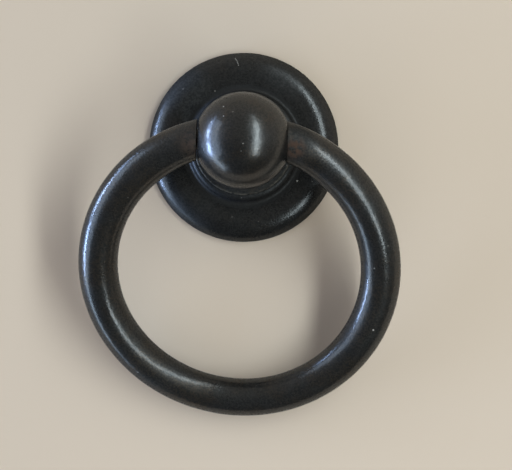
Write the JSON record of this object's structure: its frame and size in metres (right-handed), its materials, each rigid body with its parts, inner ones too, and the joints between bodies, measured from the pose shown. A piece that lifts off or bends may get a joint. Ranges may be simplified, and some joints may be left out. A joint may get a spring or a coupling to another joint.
{
  "type": "ring pull handle",
  "caption": "Drawer pull with a plain round ring that swings on a ball-headed post, standing on a round rosette with a rolled rim; fixed by a screw from behind.",
  "frame": {"origin": "centre of the rosette's flat back, on the face that lies against the drawer front", "axes": "+Z out of the drawer front, along the post; +X along the pivot axis of the ring; the ring lies towards -Y, the side that hangs down when the front is upright"},
  "size_m": [0.0634, 0.0744, 0.0323],
  "materials": {
    "rosette_bronze": "dark oil-rubbed bronze, satin, cool black",
    "post_bronze": "dark oil-rubbed bronze, satin, brown black",
    "ring_bronze": "dark oil-rubbed bronze, satin, rubbed to brown at the ends"
  },
  "bodies": {
    "base": {"rosette": "rosette_bronze", "ball_post": "post_bronze"},
    "pull_ring": {"ring": "ring_bronze"}
  },
  "joints": [
    {"name": "ring_swing", "type": "hinge", "parent": "base", "child": "pull_ring", "pos_m": [0, 0, 0.023], "axis": [-1, 0, 0], "range_deg": [0, 221]}
  ]
}
